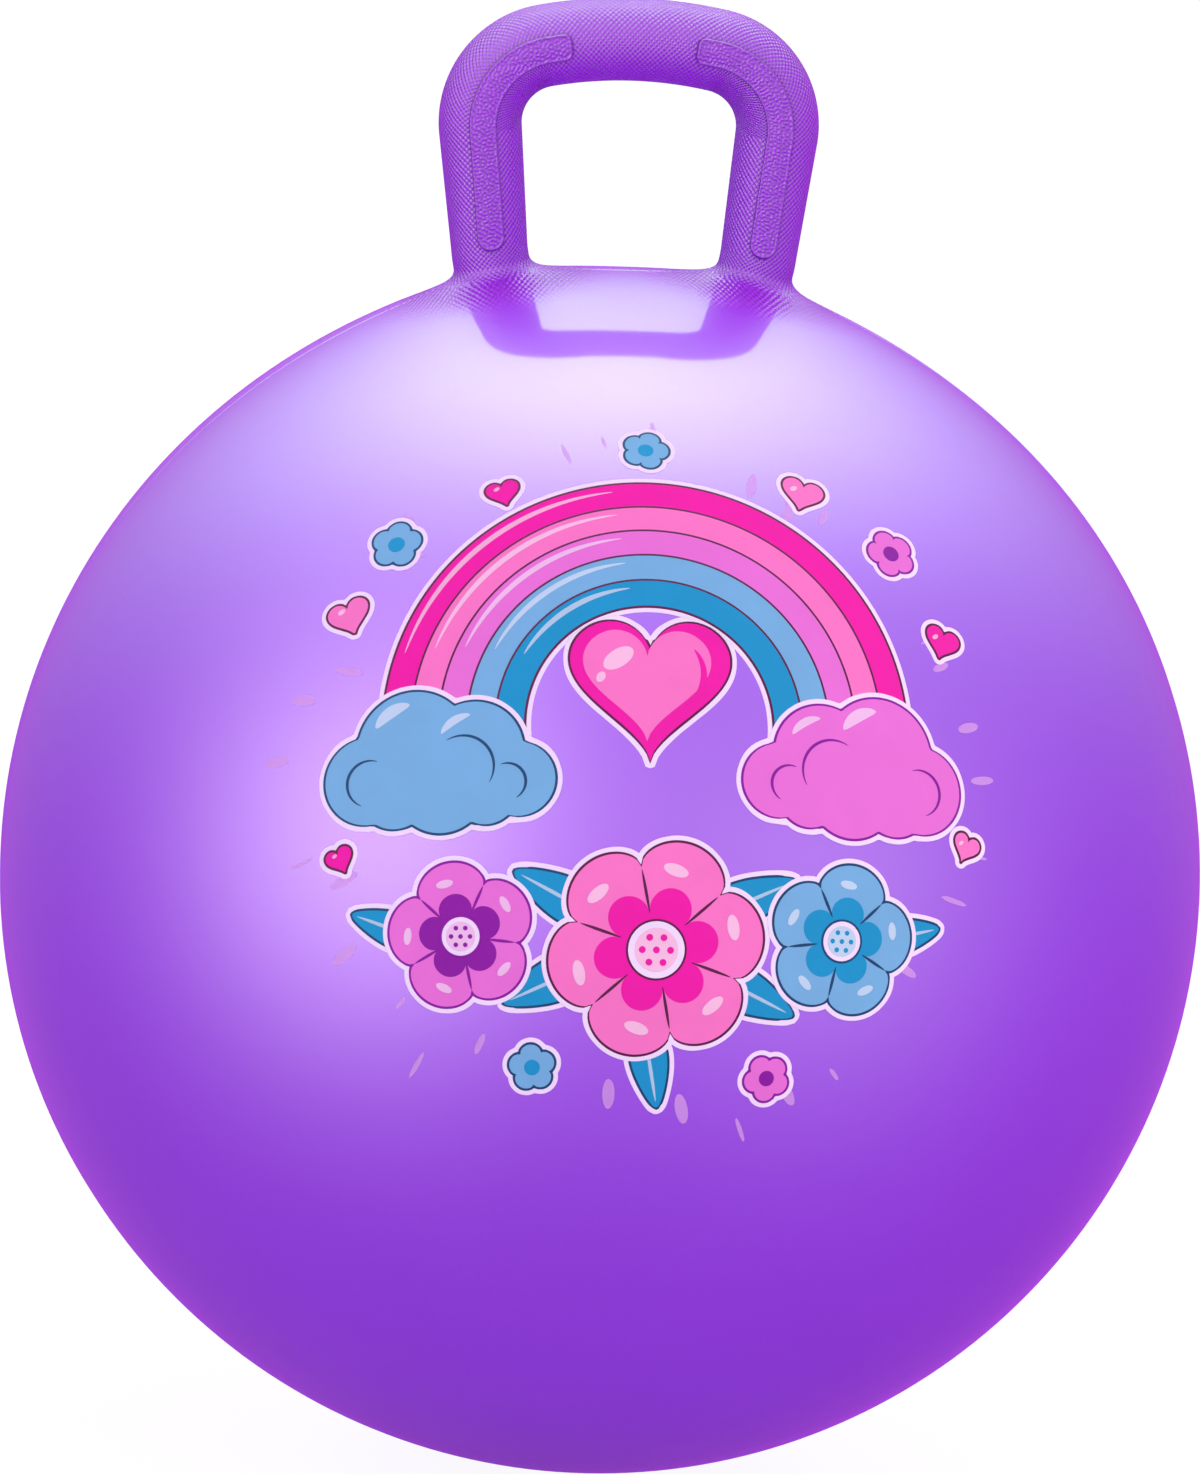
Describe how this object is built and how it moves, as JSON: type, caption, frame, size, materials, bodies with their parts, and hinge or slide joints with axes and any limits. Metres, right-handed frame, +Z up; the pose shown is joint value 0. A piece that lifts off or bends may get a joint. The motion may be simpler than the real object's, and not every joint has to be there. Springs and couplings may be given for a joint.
{
  "type": "hopper ball",
  "caption": "Inflated vinyl ball to sit and bounce on, with a moulded loop handle on top, raised grip pads and a push-in plug in its air valve.",
  "frame": {"origin": "middle of the flat patch that the ball rests on, straight under the ball's centre", "axes": "+Z up through the handle, +X to the right of someone who faces the printed front, -Y out of the printed front; the valve is on the +Y side"},
  "size_m": [0.4569, 0.4568, 0.5625],
  "materials": {
    "ball_pvc": "gloss",
    "handle_pvc": "satin",
    "grip_pvc": "satin",
    "valve_pvc": "satin",
    "plug_white": "satin"
  },
  "bodies": {
    "ball": {"ball_skin": "ball_pvc", "handle": "handle_pvc", "grip_pad_front_left": "grip_pvc", "grip_pad_front_right": "grip_pvc", "grip_pad_rear_left": "grip_pvc", "grip_pad_rear_right": "grip_pvc", "valve_stem": "valve_pvc"},
    "plug": {"valve_plug": "plug_white"}
  },
  "joints": [
    {"name": "plug_pull", "type": "slide", "parent": "ball", "child": "plug", "axis": [0, 1, 0], "range_m": [0, 0.03]}
  ]
}
